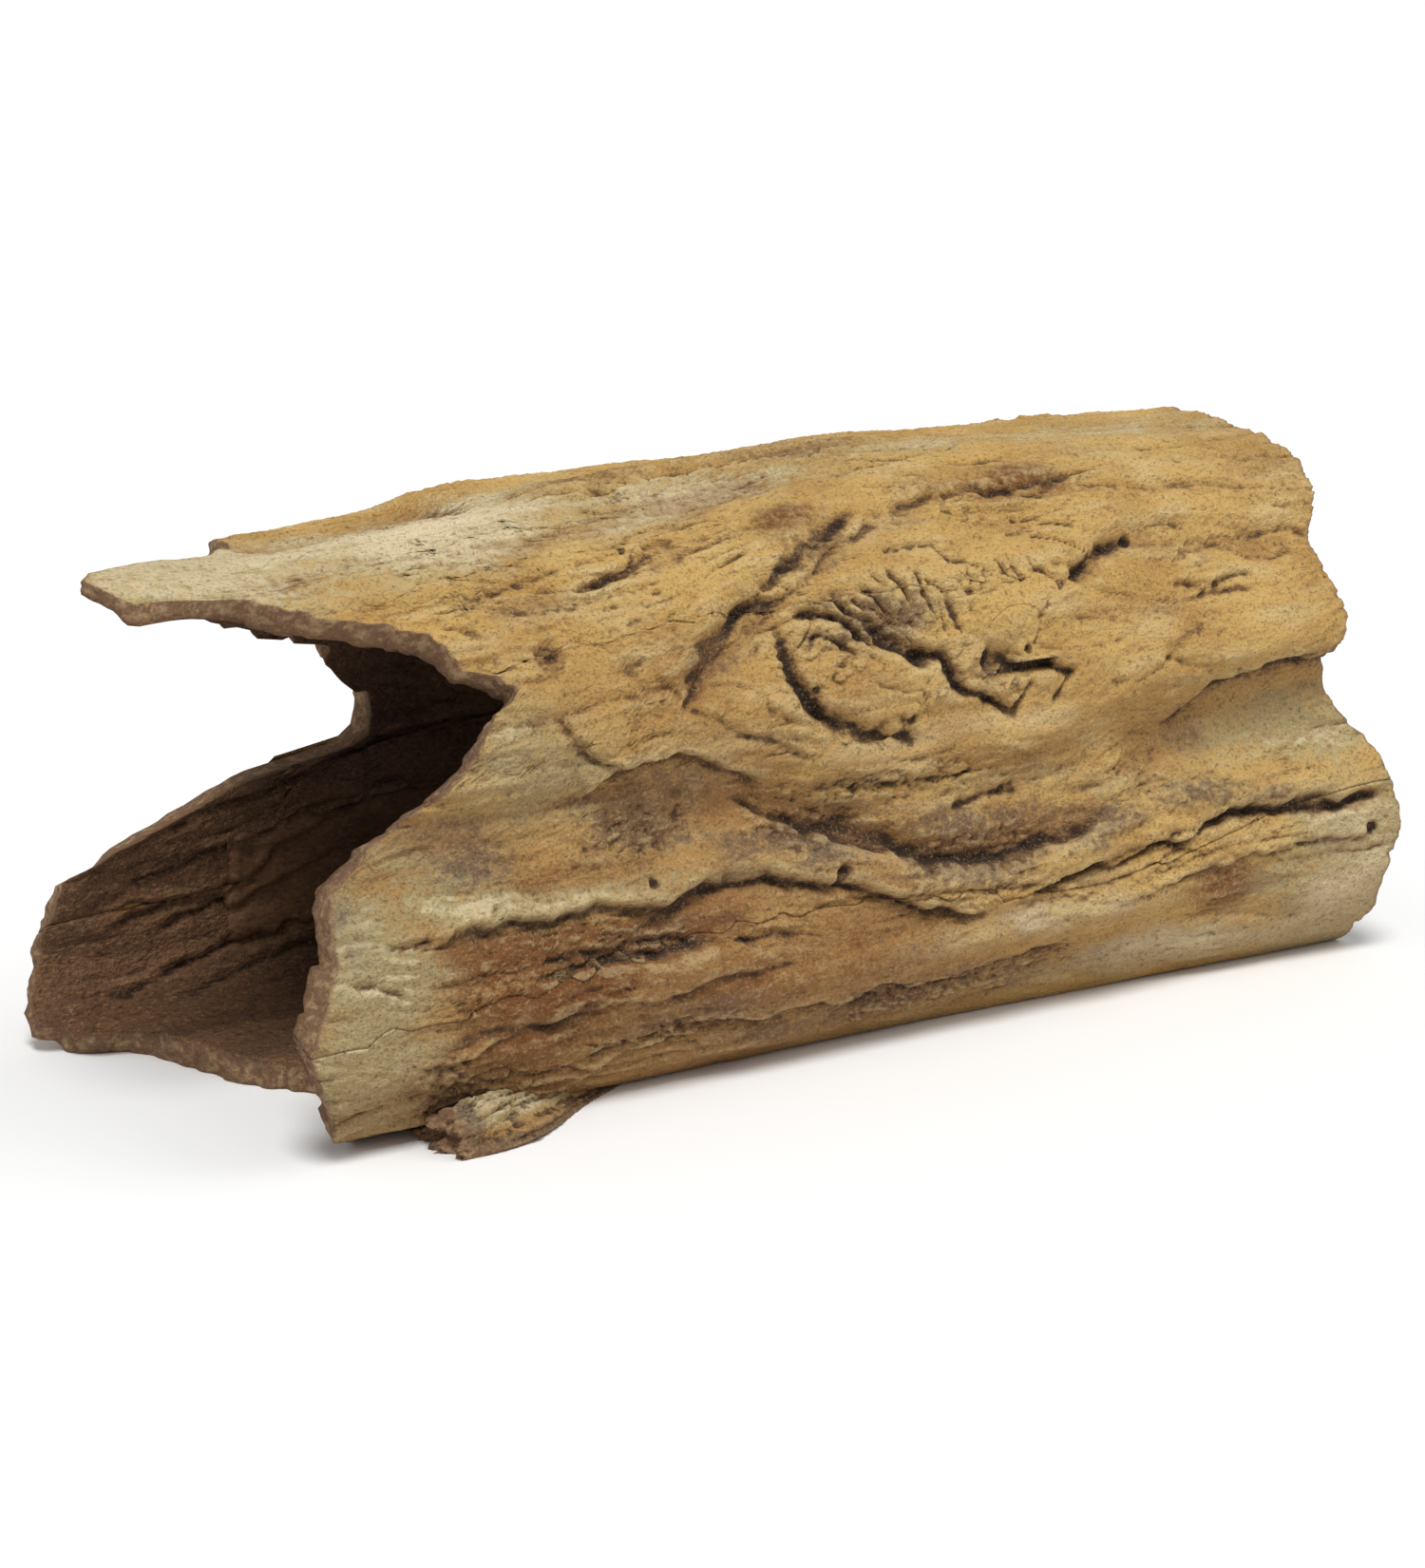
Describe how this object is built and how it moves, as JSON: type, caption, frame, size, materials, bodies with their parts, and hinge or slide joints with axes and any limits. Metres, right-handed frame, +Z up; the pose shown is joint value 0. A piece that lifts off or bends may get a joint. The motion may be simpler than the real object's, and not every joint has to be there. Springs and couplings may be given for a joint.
{
  "type": "resin cave ornament",
  "caption": "Hollow driftwood-log cave in cast resin: a ragged open mouth with a jutting roof, a broken open tail, a knot, a branch stub and a root splinter.",
  "frame": {"origin": "centre of the bounding box, on the surface that the log lies on", "axes": "+X along the log from the ragged mouth to the tail, +Y towards the far wall (the root splinter is at -Y), +Z up"},
  "size_m": [0.369, 0.1481, 0.1483],
  "materials": {
    "shell_upper": "straw yellow paint, dry-brushed over brown, matt",
    "shell_lower": "orange-brown to greenish straw paint, washed with umber, matt",
    "seam_filler": "dark umber wash over resin filler, matt",
    "seam_mat": "resin-soaked fibre mat under dark brown paint, matt",
    "knot": "pale straw paint with umber in the cracks, matt",
    "stub": "straw paint with a dark pit, matt",
    "splinter": "brown and straw paint, matt",
    "adhesive": "brown tinted epoxy, satin"
  },
  "bodies": {
    "root": {"upper_shell": "shell_upper", "lower_shell": "shell_lower", "near_seam_bond": "seam_filler", "far_seam_bond": "seam_filler", "near_seam_strip": "seam_mat", "far_seam_strip": "seam_mat", "knot_boss": "knot", "knot_bond": "adhesive", "branch_stub": "stub", "stub_bond": "adhesive", "root_splinter": "splinter", "splinter_bond": "adhesive"}
  },
  "joints": []
}
